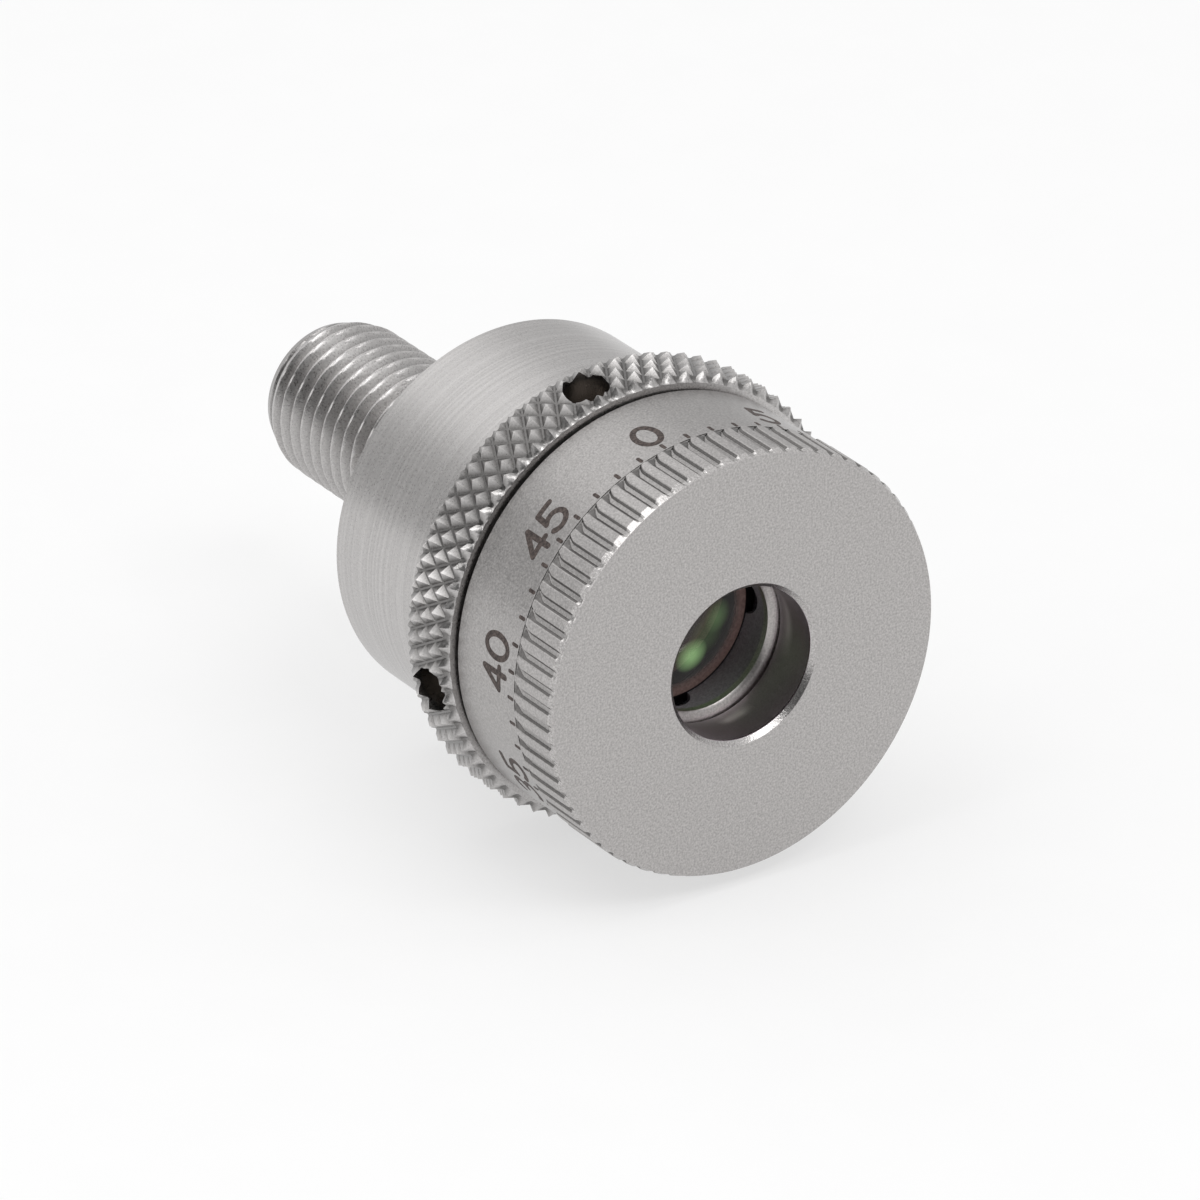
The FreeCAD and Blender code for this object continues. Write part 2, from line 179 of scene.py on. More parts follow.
# Dial marks on the smooth band
dial_numbers = 10
dial_step = 5
ticks_between = 4
dial_first = math.radians(-12.0)
digit_height = 1.32 * MM
digit_width = 0.86 * MM
digit_gap = 0.3 * MM
digit_half_stroke = 0.12 * MM
tick_half_stroke = 0.6 * digit_half_stroke
tick_length = 0.24 * MM
ticks_front = adjuster_front - knurl_length - relief_width - 0.12 * MM
numbers_front = ticks_front - tick_length - 0.26 * MM
marks_proud = 0.004 * MM
marks_sunk = 0.02 * MM


# Meshes

def circle(count, start=0.0):
    """Evenly spaced angles of one turn."""
    return start + TURN * np.arange(count) / count


def ring(x, r, angles):
    """One ring of points (n, 3): x along the axis, y = r sin(angle), z = r cos(angle)."""
    x, r, angles = np.broadcast_arrays(x, r, angles)
    return np.stack([x, r * np.sin(angles), r * np.cos(angles)], axis=1)


def strip(a, b, na, nb, folds=None):
    """Triangles between two closed rings whose first points are number a and number b.

    With equal counts each four-sided cell is cut along one diagonal: from its near left to its far
    right corner, or along the other one where folds is true. Where one ring has k times as many
    points, each long edge j, j + 1 meets k short ones: the first half of them fan from j and the rest
    from j + 1.
    """
    if na == nb:
        j = np.arange(na)
        n = (j + 1) % na
        first = np.stack([a + j, a + n, b + n, a + j, b + n, b + j], 1)
        other = np.stack([a + j, a + n, b + j, a + n, b + n, b + j], 1)
        cells = first if folds is None else np.where(folds[:, None], other, first)
        return cells.reshape(-1, 3)
    if na > nb:
        return strip(b, a, nb, na)[:, ::-1]
    k = nb // na
    j = np.arange(na)
    n = (j + 1) % na
    middle = b + j * k + k // 2
    faces = [np.stack([a + j, a + n, middle], 1)]
    for t in range(k):
        apex = a + (j if t < k // 2 else n)
        faces.append(np.stack([apex, b + (j * k + t + 1) % nb, b + j * k + t], 1))
    return np.concatenate(faces)


def skin(rings, closed=True, folds=None):
    """Points and triangles over rings of points, each joined to the next one.

    A closed skin also joins the last ring to the first. An open one ends in a pole: its first and last
    rings are single points, joined to their neighbours by a fan.
    """
    counts = [len(r) for r in rings]
    starts = np.concatenate([[0], np.cumsum(counts)])[:-1]
    pairs = [(i, i + 1) for i in range(len(rings) - 1)]
    if closed:
        pairs.append((len(rings) - 1, 0))
    faces = []
    for i, k in pairs:
        if counts[i] == 1:
            j = np.arange(counts[k])
            pole = np.full_like(j, starts[i])
            faces.append(np.stack([pole, starts[k] + (j + 1) % counts[k], starts[k] + j], 1))
        elif counts[k] == 1:
            j = np.arange(counts[i])
            pole = np.full_like(j, starts[k])
            faces.append(np.stack([pole, starts[i] + j, starts[i] + (j + 1) % counts[i]], 1))
        else:
            fold = None if folds is None else folds.get(i)
            faces.append(strip(starts[i], starts[k], counts[i], counts[k], fold))
    return np.concatenate(rings), np.concatenate(faces)


def lathe(outline, count=192):
    """Points and triangles of a closed (x, r) outline turned round the axis."""
    angles = circle(count)
    return skin([ring(x, r, angles) for x, r in outline])


def outward(points, faces):
    """Faces turned so that the volume they enclose is positive.

    The volume is the sum of a . (b x c) / 6 over the triangles a, b, c.
    """
    a, b, c = (points[faces[:, i]] for i in range(3))
    volume = np.einsum("ij,ij->i", a, np.cross(b, c)).sum()
    return faces if volume > 0 else faces[:, ::-1]


def mesh_object(name, parts, sharp_deg=30.0):
    """Object from closed shells (points, faces), shaded smooth except over edges sharper than an angle."""
    points, faces, shift = [], [], 0
    for p, f in parts:
        points.append(p)
        faces.append(outward(p, f) + shift)
        shift += len(p)
    mesh = bpy.data.meshes.new(name)
    mesh.from_pydata(np.concatenate(points).tolist(), [], np.concatenate(faces).tolist())
    mesh.update()
    made = bpy.data.objects.new(name, mesh)
    bpy.context.scene.collection.objects.link(made)
    smooth(made, sharp_deg)
    return made


def smooth(obj, sharp_deg):
    """Smooth shading, broken at edges sharper than an angle."""
    obj.data.polygons.foreach_set("use_smooth", np.ones(len(obj.data.polygons), dtype=bool))
    obj.data.set_sharp_from_angle(angle=math.radians(sharp_deg))


def carve(obj, shells, sharp_deg=30.0):
    """Take closed shells away from an object for good, with one Boolean modifier."""
    cutter = mesh_object(obj.name + "_cutter", shells)
    cut = obj.modifiers.new("cut", "BOOLEAN")
    cut.operation = "DIFFERENCE"
    cut.solver = "MANIFOLD"
    cut.object = cutter
    bpy.context.view_layer.update()
    evaluated = obj.evaluated_get(bpy.context.evaluated_depsgraph_get())
    result = bpy.data.meshes.new_from_object(evaluated)
    obj.modifiers.clear()
    old = obj.data
    obj.data = result
    bpy.data.meshes.remove(old)
    bpy.data.objects.remove(cutter)
    smooth(obj, sharp_deg)


def drill(x, angle, radius, r_in, r_out, point=0.0, count=64):
    """Closed round cutter along a radius of the part, from r_in to r_out, with a conical point.

    Points are centre + radius (cos t along the axis + sin t along the circumference) at each height.
    """
    out = np.array([0.0, math.sin(angle), math.cos(angle)])
    side = np.array([0.0, math.cos(angle), -math.sin(angle)])
    t = circle(count)[:, None]
    rim = radius * (np.cos(t) * np.array([1.0, 0.0, 0.0]) + np.sin(t) * side)
    base = np.array([x, 0.0, 0.0])
    tip = (base + (r_in - point) * out)[None]
    top = (base + r_out * out)[None]
    return skin([tip, base + r_in * out + rim, base + r_out * out + rim, top], closed=False)


def brick(low, high):
    """Closed box between two corners."""
    x, y, z = zip(low, high)
    spots = np.array([(a, b, c) for a in x for b in y for c in z])
    quads = [(0, 1, 3, 2), (4, 6, 7, 5), (0, 4, 5, 1), (2, 3, 7, 6), (0, 2, 6, 4), (1, 5, 7, 3)]
    faces = np.array([(q[0], q[i], q[i + 1]) for q in quads for i in (1, 2)])
    return spots, faces


def thread_profile(phase, flat=0.125):
    """Depth share, 0 on the crest and 1 at the root, of a thread with 60 degree flanks.

    phase counts pitches. The wave is |phase - nearest whole number| x 2, from 0 in mid crest to 1 in
    mid root, stretched so that it stays 0 over the crest's flat and 1 over the root's.
    """
    wave = 2 * np.abs(phase - np.round(phase))
    return np.clip((wave - flat) / (1 - 2 * flat), 0.0, 1.0)


def threaded(x, r_crest, depth, pitch, angles):
    """Radius of a right-handed thread: crest radius - depth x profile(x / pitch + angle / turn)."""
    return r_crest - depth * thread_profile(x / pitch + angles / TURN)


# Pieces

def make_barrel():
    """Turned grip, thread on the neck, groove for the stop ring, guide bore and two pin holes."""
    angles = circle(barrel_sides)
    thread_from = shoulder_x + neck_relief_width
    rows = np.arange(thread_from, stop_groove_rear, neck_pitch / neck_rows_a_pitch)
    rings = [ring(x, r, angles) for x, r in (
        (barrel_rear, hub_bore_r),
        (barrel_rear, grip_r - grip_edge),
        (barrel_rear + grip_edge, grip_r),
        (shoulder_x - grip_edge, grip_r),
        (shoulder_x, grip_r - grip_edge),
        (shoulder_x, neck_relief_r),
    )]
    for x in rows:
        crest = np.minimum(neck_relief_r + (x - thread_from), neck_r)
        thread = threaded(x, neck_r, neck_thread_depth, neck_pitch, angles)
        rings.append(ring(x, np.minimum(crest, thread), angles))
    rings += [ring(x, r, angles) for x, r in (
        (stop_groove_rear, neck_r - neck_thread_depth),
        (stop_groove_rear, stop_groove_r),
        (stop_groove_front, stop_groove_r),
        (stop_groove_front, neck_r - neck_thread_depth),
        (neck_front - grip_edge, neck_r - neck_thread_depth),
        (neck_front, neck_r - neck_thread_depth - grip_edge),
        (neck_front, guide_bore_r),
        (barrel_rear + rear_wall, guide_bore_r),
        (barrel_rear + rear_wall, hub_bore_r),
    )]
    barrel = mesh_object("barrel_turned", [skin(rings)])
    sides = (math.pi / 2, -math.pi / 2)
    carve(barrel, [drill(pin_x, a, pin_hole_r, guide_bore_r * 0.9, neck_r * cutter_reach) for a in sides])
    return barrel


def make_receptacle():
    """Nipple with its real thread, hub, flange, and the ferrule bore that opens into a light cone.

    The thread starts at the tip, at its own angle, under the lead's cone, and ends at the plain stretch.
    """
    angles = circle(receptacle_sides)
    thread_end = barrel_rear - nipple_plain
    rows = np.arange(nipple_tip, thread_end, nipple_pitch / nipple_rows_a_pitch)
    rings = [ring(nipple_tip, ferrule_r + ferrule_mouth, angles)]
    for x in rows:
        lead = nipple_tip_r + (nipple_r - nipple_tip_r) * (x - nipple_tip) / nipple_lead
        along, turned_by = x - nipple_tip, angles - nipple_thread_start
        thread = threaded(along, nipple_r, nipple_thread_depth, nipple_pitch, turned_by)
        rings.append(ring(x, np.minimum(lead, thread), angles))
    rings += [ring(x, r, angles) for x, r in (
        (thread_end, nipple_r),
        (barrel_rear, nipple_r),
        (barrel_rear, hub_r),
        (barrel_rear + rear_wall, hub_r),
        (barrel_rear + rear_wall, flange_r),
        (flange_front, flange_r),
        (flange_front, light_cone_r),
        (barrel_rear + rear_wall, light_cone_r),
        (ferrule_end, ferrule_r),
        (nipple_tip + ferrule_mouth, ferrule_r),
    )]
    return mesh_object("receptacle_threaded", [skin(rings)])


def make_lock_ring():
    """Locking ring with crossed grooves round it and four blind spanner holes.

    Two families of grooves wind round at plus and minus the helix angle. With u and v the angle, in
    half diamonds, plus and minus the distance along the axis, in half heights, each family's share of
    the height is the triangle wave |u mod 2 - 1|, 1 on a crest and 0 in a groove, and the surface
    takes the lower of the two. Shares under one step are cut to a flat groove floor, and the rest is
    stretched so that crests stay sharp. Each cell of the grid folds along the family that is lower
    there. Over the front edge, where t goes from 0 to 1, the grooves go on with 1 - t^2 of their
    depth, so that the edge itself is a plain circle.
    """
    half_width = math.pi / diamond_count
    half_height = half_width * lock_r / math.tan(diamond_helix)
    middle = (lock_rear + lock_front) / 2
    centre = middle - diamond_back_set
    fine = circle(2 * diamond_count * diamond_steps, diamond_first)
    coarse = fine[::diamond_steps]
    steps = np.arange(-diamond_rows_each_way, diamond_rows_each_way + 1)
    grid = centre + half_height / diamond_steps * steps
    front_axial, front_radial = lock_front_edge
    rear_axial, rear_radial = lock_rear_edge
    extra = np.concatenate([
        lock_rear + rear_axial * np.linspace(0, 1, 4),
        lock_front - front_axial * np.linspace(0, 1, 7),
    ])
    inside = grid[(grid > lock_rear + rear_axial) & (grid < lock_front - front_axial)]
    rows = np.sort(np.concatenate([inside, extra]))

    def waves(x, angles):
        along = (x - centre) / half_height
        round_it = (angles - diamond_first) / half_width
        return [np.abs(np.mod(round_it + sign * along, 2) - 1) for sign in (1, -1)]

    def knurl(x):
        floor = 1 / diamond_steps
        share = np.clip((np.minimum(*waves(x, fine)) - floor) / (1 - floor), 0, 1)
        rear = lock_r - rear_radial * np.clip((lock_rear + rear_axial - x) / rear_axial, 0, 1)
        t = np.clip((x - lock_front + front_axial) / front_axial, 0, 1)
        depth = diamond_depth * (1 - t ** 2)
        return np.minimum(lock_r - front_radial * t - depth * (1 - share), rear)

    rings, folds = [], {}
    for i, x in enumerate(rows):
        rings.append(ring(x, knurl(x), fine))
        if i + 1 < len(rows):
            plus, minus = waves((x + rows[i + 1]) / 2, fine + half_width / diamond_steps / 2)
            folds[i] = plus < minus
    rings += [ring(x, r, coarse) for x, r in (
        (lock_front, ring_bore_r + lock_face_width),
        (lock_front, ring_bore_r + ring_bore_edge),
        (lock_front - ring_bore_edge, ring_bore_r),
        (lock_rear + ring_bore_edge, ring_bore_r),
        (lock_rear, ring_bore_r + ring_bore_edge),
        (lock_rear, ring_bore_r + lock_face_width + 0.1 * MM),
    )]
    lock = mesh_object("lock_ring_knurled", [skin(rings, folds=folds)], diamond_sharp_deg)
    point = hole_r / math.tan(hole_point)
    turns = first_hole + circle(hole_count)
    holes = [drill(middle, a, hole_r, lock_r - hole_depth, lock_r * cutter_reach, point) for a in turns]
    carve(lock, holes, diamond_sharp_deg)
    return lock


def make_adjuster():
    """Adjuster sleeve with its straight knurl, relief, smooth band and bores.

    Each pitch of the knurl has a land, a wall, a floor and a wall, with small breaks at the land's
    edges. In the runout at the rear, t goes from 0 to 1: the far wall and the next land's edge move on
    by the cut times t^2, and the near wall's foot moves to meet them, so that this wall opens into a
    broad facet.
    """
    half_land, half_floor = knurl_land / 2, knurl_floor / 2
    rear = adjuster_front - knurl_length
    pitches = np.arange(knurl_count)[:, None]
    falls = np.array([0.12, 0.0, 0.0, 0.0, 0.12, 0.95, 1.0, 1.0, 0.95])
    edge_axial, edge_radial = knurl_front_edge

    def knurl(x):
        t = np.clip(1 - (x - rear) / knurl_runout, 0, 1)
        cut = knurl_runout_cut * t ** 2
        near_foot = 0.5 - half_floor
        far_foot = 0.5 + half_floor + cut
        near_foot += (far_foot - near_foot - knurl_break) * np.clip(knurl_foot_rate * t, 0, 1)
        left = cut - half_land
        phases = np.array([
            left, left + knurl_break, left / 2 + half_land / 2, half_land - knurl_break, half_land,
            near_foot - knurl_break / 2, near_foot, far_foot, far_foot + knurl_break / 2,
        ])
        angles = ((pitches + phases) * TURN / knurl_count).ravel()
        bevel = edge_radial * np.clip((x - adjuster_front) / edge_axial + 1, 0, 1)
        grooved = np.tile(knurl_r - knurl_depth * falls, knurl_count)
        return angles, np.minimum(grooved, knurl_r - bevel)

    rows = np.concatenate([
        rear + knurl_runout * np.linspace(0, 1, 10),
        adjuster_front - edge_axial * np.linspace(1, 0, 6),
    ])
    rings = []
    for x in rows:
        angles, radii = knurl(x)
        rings.append(ring(x, radii, angles))
    coarse = angles[::3]
    rings += [ring(x, r, coarse) for x, r in (
        (adjuster_front, knurl_r - 2 * knurl_depth),
        (adjuster_front, aperture_r + aperture_edge),
        (adjuster_front - aperture_edge, aperture_r),
        (adjuster_front - aperture_land, aperture_r),
        (adjuster_front - front_wall, aperture_rear_r),
        (adjuster_front - front_wall, cavity_r),
        (sleeve_shoulder, cavity_r),
        (sleeve_shoulder, ring_bore_r),
        (adjuster_rear, ring_bore_r),
        (adjuster_rear, band_r - band_edge),
        (adjuster_rear + band_edge, band_r),
        (rear - relief_width, band_r),
        (rear - relief_width, relief_r),
        (rear, relief_r),
    )]
    return mesh_object("adjuster_knurled", [skin(rings)], knurl_sharp_deg)


def make_carriage():
    """Sliding sleeve with its bevelled front lip, guide, skirt and two keyways."""
    bevel_axial, bevel_radial = lip_bevel
    guide_rear = carriage_front - guide_length
    soft = 0.04 * MM
    carriage = mesh_object("carriage_turned", [lathe([
        (carriage_front, lip_r + bevel_radial),
        (carriage_front, guide_r - soft),
        (carriage_front - soft, guide_r),
        (guide_rear + soft, guide_r),
        (guide_rear, guide_r - soft),
        (guide_rear, skirt_r),
        (carriage_rear + soft, skirt_r),
        (carriage_rear, skirt_r - soft),
        (carriage_rear, cell_bore_r),
        (carriage_front - lip_thickness, cell_bore_r),
        (carriage_front - lip_thickness, lip_r),
        (carriage_front - bevel_axial - soft, lip_r),
        (carriage_front - bevel_axial, lip_r + soft),
    ])])
    w = keyway_half_width
    start, end = guide_rear - MM, keyway_front
    keyways = [brick((start, s * skirt_r, -w), (end, s * (guide_r + MM), w)) for s in (1, -1)]
    carve(carriage, keyways)
    return carriage


def make_mount():
    """Blackened mount whose front wall ends at the lens's rim, with four radial glue ports there."""
    soft = 0.03 * MM
    mount = mesh_object("mount_blackened", [lathe([
        (mount_rear, mount_pocket_r),
        (mount_rear, mount_r - soft),
        (mount_rear + soft, mount_r),
        (mount_front, mount_r),
        (mount_front, mount_bore_r + soft),
        (mount_front - soft, mount_bore_r),
        (lens_seat, mount_bore_r),
        (lens_seat, mount_pocket_r),
    ])])
    turns = TURN / 4 + circle(glue_port_count)
    carve(mount, [drill(lens_seat, a, glue_port_r, lens_r / 2, mount_r * cutter_reach) for a in turns])
    return mount


def make_lens():
    """Lens with a curved front inside a flat rim: depth below the vertex is R - sqrt(R^2 - r^2)."""
    angles = circle(lens_sides)
    edge = 0.06 * MM
    radii = lens_rim_r * np.linspace(0, 1, 25)[1:]
    dome = lens_vertex - (lens_curve - np.sqrt(lens_curve ** 2 - radii ** 2))
    rings = [np.array([[lens_vertex, 0.0, 0.0]])]
    rings += [ring(x, r, angles) for x, r in zip(dome, radii)]
    rings += [ring(x, r, angles) for x, r in (
        (dome[-1], lens_r - edge),
        (dome[-1] - edge, lens_r),
        (lens_rear + edge, lens_r),
        (lens_rear, lens_r - edge),
    )]
    rings.append(np.array([[lens_rear, 0.0, 0.0]]))
    return mesh_object("lens_polished", [skin(rings, closed=False)])


def make_spring():
    """Preload spring, a round wire along a helix.

    The middle line is (x, r sin a, r cos a) with x in step with a. Each ring of the wire is centre +
    wire radius x (cos t outward + sin t square to both the line and the outward direction).
    """
    steps = round(spring_turns * spring_steps)
    share = np.linspace(0, 1, steps + 1)
    a = TURN * spring_turns * share
    x = spring_rear + spring_wire_r + (spring_front - spring_rear - 2 * spring_wire_r) * share
    centre = ring(x, spring_middle_r, a)
    out = ring(0.0, 1.0, a)
    way = np.gradient(centre, axis=0)
    way /= np.linalg.norm(way, axis=1)[:, None]
    side = np.cross(way, out)
    t = circle(spring_wire_sides)
    tube = centre[:, None] + spring_wire_r * (
        np.cos(t)[None, :, None] * out[:, None] + np.sin(t)[None, :, None] * side[:, None])
    rings = [centre[:1]] + list(tube) + [centre[-1:]]
    return mesh_object("spring_wound", [skin(rings, closed=False)])


def arc(x, y, rx, ry, start, end, count=17):
    """Points of an ellipse's arc; angles in degrees, counted from the right through the top."""
    t = np.radians(np.linspace(start, end, count))
    return np.stack([x + rx * np.cos(t), y + ry * np.sin(t)], 1)


def line(*spots):
    """Evenly spaced points along a straight run between two spots."""
    a, b = np.array(spots, dtype=float)
    return a + (b - a) * np.linspace(0, 1, 9)[:, None]


# Each digit is a list of strokes in a cell one unit wide and one high.
DIGITS = {
    "0": [arc(0.5, 0.5, 0.5, 0.5, 90, -270, 33)],
    "1": [line((0.62, 0.0), (0.62, 1.0)), line((0.2, 0.76), (0.62, 1.0))],
    "2": [
        arc(0.5, 0.7, 0.48, 0.3, 165, -35),
        line((0.89, 0.53), (0.02, 0.0)),
        line((0.02, 0.0), (1.0, 0.0)),
    ],
    "3": [arc(0.46, 0.75, 0.44, 0.25, 150, -90), arc(0.46, 0.25, 0.52, 0.25, 90, -150)],
    "4": [
        line((0.72, 0.0), (0.72, 1.0)),
        line((0.72, 1.0), (0.0, 0.3)),
        line((0.0, 0.3), (1.0, 0.3)),
    ],
    "5": [
        line((0.92, 1.0), (0.14, 1.0)),
        line((0.14, 1.0), (0.08, 0.52)),
        arc(0.45, 0.31, 0.52, 0.31, 138, -145),
    ],
}


def ribbon(path, half_width):
    """Closed thin ribbon on the band along a path of (distance round, distance back from the ticks).

    The two edges lie half a width to each side, square to the path. Towards both ends the half width
    shrinks as sqrt(w^2 - d^2), with d the distance into a round cap, so that each stroke ends in a
    half circle.
    """
    steps = np.linalg.norm(np.diff(path, axis=0), axis=1)
    along = np.concatenate([[0], np.cumsum(steps)])
    total = along[-1]
    caps = half_width * np.array([-1.0, -0.92, -0.7, -0.38])
    stations = np.concatenate([caps, along, total - caps[::-1]])
    grow = np.gradient(path, along, axis=0)
    way = np.stack([np.interp(stations, along, grow[:, i]) for i in range(2)], 1)
    way /= np.linalg.norm(way, axis=1)[:, None]
    beyond = stations - np.clip(stations, 0, total)
    middle = np.stack([np.interp(stations, along, path[:, i]) for i in range(2)], 1)
    middle += way * beyond[:, None]
    width = np.sqrt(np.maximum(half_width ** 2 - beyond ** 2, (0.1 * half_width) ** 2))[:, None]
    side = np.stack([-way[:, 1], way[:, 0]], 1) * width
    rings = []
    low, high = band_r - marks_sunk, band_r + marks_proud
    left, right = middle + side, middle - side
    corners = [(left, high), (right, high), (right, low), (left, low)]
    columns = [ring(ticks_front - p[:, 1], r, p[:, 0] / band_r) for p, r in corners]
    grid = np.stack(columns, 1)
    ends = [grid[0].mean(0)[None], grid[-1].mean(0)[None]]
    return skin([ends[0]] + list(grid) + [ends[1]], closed=False)


def make_marks():
    """Dial round the band: a tick at each division and a number behind each main one."""
    shells = []
    size = np.array([digit_width, digit_height])
    for i in range(dial_numbers):
        start = (dial_first + TURN * i / dial_numbers) * band_r
        text = str(i * dial_step)
        full = len(text) * digit_width + (len(text) - 1) * digit_gap
        for k, digit in enumerate(text):
            left = start - full / 2 + k * (digit_width + digit_gap)
            for path in DIGITS[digit]:
                spot = (left, ticks_front - numbers_front)
                shells.append(ribbon(path * size + spot, digit_half_stroke))
        for k in range(ticks_between + 1):
            spot = start + TURN * band_r / dial_numbers * k / (ticks_between + 1)
            tick = np.array([(spot, 0.0), (spot, tick_length)])
            shells.append(ribbon(tick, tick_half_stroke))
    return mesh_object("dial_marks", shells)


# Shader expressions

class Value:
    """A shader value under construction. Operators on it add the Math node that works them out."""

    def __init__(self, tree, socket):
        self.tree = tree
        self.socket = socket

    def node(self, kind, settings, values, output=0):
        """Add any other node: its type, its settings, then each socket's number, colour or link."""
        made = self.tree.nodes.new(kind)
        for key, value in settings.items():
            setattr(made, key, value)
        for key, value in values.items():
            if isinstance(value, Value):
                self.tree.links.new(value.socket, made.inputs[key])
            else:
                made.inputs[key].default_value = value
        return None if output is None else Value(self.tree, made.outputs[output])

    def math(self, operation, *terms):
        return self.node("ShaderNodeMath", {"operation": operation}, dict(enumerate(terms)))

    def __add__(self, other):
        return self.math("ADD", self, other)

    def __radd__(self, other):
        return self.math("ADD", other, self)

    def __sub__(self, other):
        return self.math("SUBTRACT", self, other)

    def __rsub__(self, other):
        return self.math("SUBTRACT", other, self)

    def __mul__(self, other):
        return self.math("MULTIPLY", self, other)

    def __truediv__(self, other):
        return self.math("DIVIDE", self, other)


def new_material(name):
    """Empty material and its object coordinates."""
    material = bpy.data.materials.new(name)
    material.use_nodes = True
    tree = material.node_tree
    tree.nodes.clear()
    place = tree.nodes.new("ShaderNodeTexCoord").outputs["Object"]
    return material, Value(tree, place)


def principled(material, place, sockets):
    """Close a material with one Principled shader."""
    shader = place.node("ShaderNodeBsdfPrincipled", {}, sockets)
    place.node("ShaderNodeOutputMaterial", {}, {"Surface": shader}, None)
    return material


def noise(place, scale, detail=3.0):
    """Noise at a point, from 0 to 1."""
    return place.node("ShaderNodeTexNoise", {}, {"Vector": place, "Scale": scale, "Detail": detail})


def cylindrical(place):
    """Vector (x, radius, turns round the axis) of a point, for finishes that run round the axis."""
    x, y, z = (place.node("ShaderNodeSeparateXYZ", {}, {0: place}, i) for i in range(3))
    radius = place.math("SQRT", y * y + z * z)
    turns = place.math("ARCTAN2", y, z) / TURN
    return x, radius, turns


def mixed(factor, low, high):
    """Colour low where the factor is 0 and high where it is 1. Sockets 6 and 7 take the colours."""
    return factor.node("ShaderNodeMix", {"data_type": "RGBA"}, {0: factor, 6: low, 7: high}, 2)


def stretch(value, low, high, to_low, to_high):
    """Value mapped from one range to another and held inside it."""
    sockets = {0: value, 1: low, 2: high, 3: to_low, 4: to_high}
    return value.node("ShaderNodeMapRange", {}, sockets)


def spread(cloud, to_low, to_high):
    """Noise mapped to a range. It lies mostly between 0.3 and 0.7."""
    return stretch(cloud, 0.3, 0.7, to_low, to_high)


def bumped(height, strength, distance):
    """Normal tilted by the slope of a height."""
    return height.node("ShaderNodeBump", {}, {"Height": height, "Strength": strength, "Distance": distance})


def grey(level, warm=0.0):
    """Grey of a level, with more red and less blue where it is warm."""
    return (level * (1 + 1.3 * warm), level, level * (1 - 0.6 * warm), 1.0)


def between(value, low, high, soft):
    """1 where a value lies between two limits and 0 outside them, with soft sides."""
    return stretch(value, low - soft, low, 0.0, 1.0) * stretch(value, high, high + soft, 1.0, 0.0)


def steel(name, level, rough, grain=0.05, lines=0.0, speckle=0.1, streaks=0.0, warm=0.02,
          painted_shade=None, polish=None, painted_overlay=None):
    """Satin steel with a fine speckle, turning lines and, where given, painted shade in its hollows.

    Base Color = level x painted_shade x (1 + speckle x s + streaks x l). s follows a fine noise and l a
    noise over (x, radius) that is the same all the way round, both from -1 to 1. painted_shade is a
    function of x and radius that lowers the tone in grooves and hollows. painted_overlay, a function of x,
    radius and turns, gives the share of another colour and that colour, painted shade and painted
    reflections where it is used. Roughness = (rough + 0.04 x s) x polish, a function of x and radius too.
    The relief is grain x fine noise + lines x turning noise.
    """
    top_tone = 1.5
    # Black at the low end of the tone, reached where the painted shade is deepest.
    shade_black = (0.012, 0.010, 0.008, 1.0)
    material, place = new_material(name)
    fine = noise(place, 13000.0, 2.0)
    x, radius, turns = cylindrical(place)
    turning = noise(x.node("ShaderNodeCombineXYZ", {}, {0: x, 1: radius}), 9000.0, 2.0)
    dots = spread(fine, -1.0, 1.0)
    tone = 1 + dots * speckle + spread(turning, -1.0, 1.0) * streaks
    # Painted shade: the tone is lowered in grooves and hollows.
    if painted_shade:
        tone = tone * painted_shade(x, radius)
    roughness = rough + dots * 0.04
    if polish:
        roughness = roughness * polish(x, radius)
    colour = mixed(tone / top_tone, shade_black, grey(level * top_tone, warm))
    # Another colour laid over the steel: painted shade, and in the front bore painted reflections too.
    if painted_overlay:
        share, tint = painted_overlay(x, radius, turns)
        colour = mixed(share, colour, tint)
    return principled(material, place, {
        "Base Color": colour,
        "Metallic": 1.0,
        "Roughness": roughness,
        "Normal": bumped(fine * grain + turning * lines, 1.0, 0.02 * MM),
    })


def below_crests(x, radius):
    """Depth under the locking ring's crests, which follow the front edge's cone."""
    axial, radial = lock_front_edge
    return stretch(x, lock_front - axial, lock_front, lock_r, lock_r - radial) - radius


def shade_in_diamonds(x, radius):
    """Painted shade: tone falls with the depth under the crests. The two faces keep most of their tone, the
    front one a little more than full.
    """
    # Painted shade, deeper the further under the crests.
    share = stretch(below_crests(x, radius), 0.03 * MM, diamond_depth, 1.0, 0.36)
    front = stretch(x, lock_front - 0.02 * MM, lock_front - 0.005 * MM, 0.0, 1.0)
    rear = stretch(x, lock_rear, lock_rear + 0.02 * MM, 1.0, 0.0)
    return rear * 0.9 + front * 1.1 + (1 - rear - front) * share


def shade_in_holes(x, radius, turns):
    """Share and colour of the browner tone painted as shade on the walls and floors of the spanner holes.
    """
    # Dark brown of the painted shade in the holes.
    brown = (0.27, 0.245, 0.225, 1.0)
    wall = diamond_depth + 0.05 * MM
    deep = stretch(below_crests(x, radius), wall, wall + 0.1 * MM, 0.0, 0.9)
    return deep * between(x, lock_rear + 0.1 * MM, lock_front - 0.1 * MM, 0.02 * MM), brown


